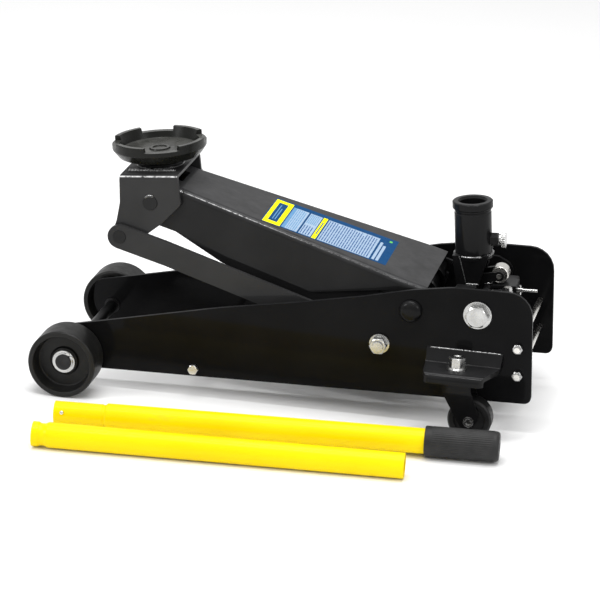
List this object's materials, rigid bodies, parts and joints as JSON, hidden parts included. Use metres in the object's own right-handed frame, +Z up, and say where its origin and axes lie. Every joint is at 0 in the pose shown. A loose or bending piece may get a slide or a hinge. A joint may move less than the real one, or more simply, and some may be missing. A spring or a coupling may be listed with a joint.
{
  "type": "trolley jack",
  "caption": "Low hydraulic trolley jack: steel side plates, channel lift arm with levelling links, saddle, swivel casters, handle socket and two-piece handle.",
  "frame": {"origin": "on the floor, under the middle of the overall box of the jack and its loose handle", "axes": "+X from the front wheels to the handle socket, the longest way; +Z up, the shortest way; the loose handle lies on the -Y side, which is called left"},
  "size_m": [0.6466, 0.4895, 0.3222],
  "materials": {
    "painted_black": "gloss black paint",
    "plate_black": "satin black paint",
    "pump_paint": "black paint on a cast and turned hydraulic unit",
    "bright_steel": "turned bright steel",
    "dark_steel": "blackened steel",
    "zinc": "bright zinc plate",
    "spring_steel": "oiled spring wire",
    "saddle_iron": "dark coated casting",
    "wheel_iron": "dark painted casting",
    "caster_black": "hard black tread",
    "handle_yellow": "gloss yellow paint",
    "grip_rubber": "ribbed black rubber"
  },
  "bodies": {
    "frame": {"side_plate_left": "plate_black", "side_plate_right": "plate_black", "caster_shelf_left": "painted_black", "caster_shelf_right": "painted_black", "front_axle": "dark_steel", "axle_washers": "zinc", "axle_circlips": "dark_steel", "front_tie_bolt": "bright_steel", "rear_tie_rods": "bright_steel", "tie_nuts": "zinc", "arm_pivot_shaft": "bright_steel", "arm_pivot_caps": "painted_black", "link_pivot_bolts": "zinc", "link_pivot_nuts": "zinc", "yoke_pivot_bolts": "zinc", "pump_block": "pump_paint", "cylinder_tank": "pump_paint", "gland_nut": "zinc", "block_plugs": "zinc", "return_springs": "spring_steel", "pump_spring": "spring_steel", "kingpin_bolts": "zinc"},
    "arm": {"lift_arm": "painted_black", "arm_hub": "painted_black", "arm_levers": "painted_black", "lever_pin": "bright_steel"},
    "head": {"head_pin": "painted_black", "saddle_bracket": "painted_black", "bracket_collar": "painted_black", "link_front_pins": "painted_black"},
    "saddle_dish": {"saddle": "saddle_iron", "saddle_clip": "dark_steel"},
    "left_link": {"link_left": "painted_black"},
    "right_link": {"link_right": "painted_black"},
    "ram_unit": {"ram": "bright_steel", "crosshead": "pump_paint"},
    "handle_yoke": {"socket_tube": "painted_black", "yoke_neck": "painted_black", "yoke_fork": "painted_black", "roller_pin": "bright_steel", "clamp_boss": "painted_black"},
    "roller": {"pump_roller": "bright_steel"},
    "handle_clamp": {"clamp_screw": "zinc"},
    "plunger": {"pump_plunger": "bright_steel", "plunger_cap": "bright_steel"},
    "valve": {"release_valve": "zinc", "release_cross_pin": "zinc"},
    "left_wheel": {"front_wheel_left": "wheel_iron"},
    "right_wheel": {"front_wheel_right": "wheel_iron"},
    "left_caster": {"caster_fork_left": "painted_black", "caster_axle_left": "zinc"},
    "right_caster": {"caster_fork_right": "painted_black", "caster_axle_right": "zinc"},
    "left_caster_wheel": {"caster_wheel_left": "caster_black"},
    "right_caster_wheel": {"caster_wheel_right": "caster_black"},
    "lower_handle": {"handle_lower": "handle_yellow"},
    "upper_handle": {"handle_upper": "handle_yellow", "handle_grip": "grip_rubber"},
    "button": {"snap_button": "bright_steel"}
  },
  "joints": [
    {"name": "arm_lift", "type": "hinge", "parent": "frame", "child": "arm", "pos_m": [0.16412, 0.09098, 0.15091], "axis": [0, 1, 0], "range_deg": [-24.5, 35.5]},
    {"name": "head_level", "type": "hinge", "parent": "arm", "child": "head", "pos_m": [-0.18883, 0.09098, 0.24509], "axis": [0, 1, 0], "range_deg": [-35.6, 24.6]},
    {"name": "saddle_swivel", "type": "hinge", "parent": "head", "child": "saddle_dish", "pos_m": [-0.19143, 0.09098, 0.28502], "axis": [-0.0924, 0, 0.9957], "continuous": true},
    {"name": "left_link_swing", "type": "hinge", "parent": "frame", "child": "left_link", "pos_m": [0.12616, 0.00198, 0.10321], "axis": [0, 1, 0], "range_deg": [-24.6, 35.6]},
    {"name": "right_link_swing", "type": "hinge", "parent": "frame", "child": "right_link", "pos_m": [0.12616, 0.17997, 0.10321], "axis": [0, 1, 0], "range_deg": [-24.6, 35.6]},
    {"name": "ram_slide", "type": "slide", "parent": "frame", "child": "ram_unit", "axis": [-0.999, 0, -0.0436], "range_m": [-0.0199, 0.0288], "deforming": ["return_springs"]},
    {"name": "handle_pump", "type": "hinge", "parent": "frame", "child": "handle_yoke", "pos_m": [0.24942, 0.09098, 0.15504], "axis": [0, 1, 0], "range_deg": [0, 50]},
    {"name": "pump_stroke", "type": "slide", "parent": "frame", "child": "plunger", "axis": [0.0436, 0, -0.999], "range_m": [0, 0.0193], "deforming": ["pump_spring"]},
    {"name": "roller_spin", "type": "hinge", "parent": "handle_yoke", "child": "roller", "pos_m": [0.26164, 0.09098, 0.1801], "axis": [0, 1, 0], "continuous": true},
    {"name": "clamp_turn", "type": "hinge", "parent": "handle_yoke", "child": "handle_clamp", "pos_m": [0.25378, 0.09098, 0.22443], "axis": [0.9969, 0, 0.0785], "range_deg": [-720, 360]},
    {"name": "valve_turn", "type": "hinge", "parent": "frame", "child": "valve", "pos_m": [0.29219, 0.11497, 0.152], "axis": [0.999, 0, 0.0436], "range_deg": [0, 540]},
    {"name": "left_wheel_roll", "type": "hinge", "parent": "frame", "child": "left_wheel", "pos_m": [-0.27867, -0.03703, 0.0446], "axis": [0, 1, 0], "continuous": true},
    {"name": "right_wheel_roll", "type": "hinge", "parent": "frame", "child": "right_wheel", "pos_m": [-0.27867, 0.21898, 0.0446], "axis": [0, 1, 0], "continuous": true},
    {"name": "left_caster_swivel", "type": "hinge", "parent": "frame", "child": "left_caster", "pos_m": [0.23083, -0.03703, 0.08], "axis": [0, 0, 1], "range_deg": [-195, 18]},
    {"name": "right_caster_swivel", "type": "hinge", "parent": "frame", "child": "right_caster", "pos_m": [0.23083, 0.21898, 0.08], "axis": [0, 0, 1], "range_deg": [-18, 195]},
    {"name": "left_caster_roll", "type": "hinge", "parent": "left_caster", "child": "left_caster_wheel", "pos_m": [0.25183, -0.03703, 0.028], "axis": [0, 1, 0], "continuous": true},
    {"name": "right_caster_roll", "type": "hinge", "parent": "right_caster", "child": "right_caster_wheel", "pos_m": [0.25183, 0.21898, 0.028], "axis": [0, 1, 0], "continuous": true},
    {"name": "lower_handle_lift_off", "type": "slide", "parent": "frame", "child": "lower_handle", "axis": [0, 0, 1], "range_m": [0, 0.3]},
    {"name": "upper_handle_lift_off", "type": "slide", "parent": "frame", "child": "upper_handle", "axis": [0, 0, 1], "range_m": [0, 0.3]},
    {"name": "snap_button_press", "type": "slide", "parent": "upper_handle", "child": "button", "axis": [-0.0712, 0.937, -0.342], "range_m": [0, 0.0022], "stiffness_N_per_m": 500, "springref_m": -0.001}
  ],
  "couplings": [
    {"joint": "head_level", "follows": "arm_lift", "ratio": -1},
    {"joint": "left_link_swing", "follows": "arm_lift", "ratio": 1},
    {"joint": "right_link_swing", "follows": "arm_lift", "ratio": 1},
    {"joint": "ram_slide", "follows": "arm_lift", "m_per_rad": 0.04637},
    {"joint": "pump_stroke", "follows": "handle_pump", "m_per_rad": 0.022}
  ]
}
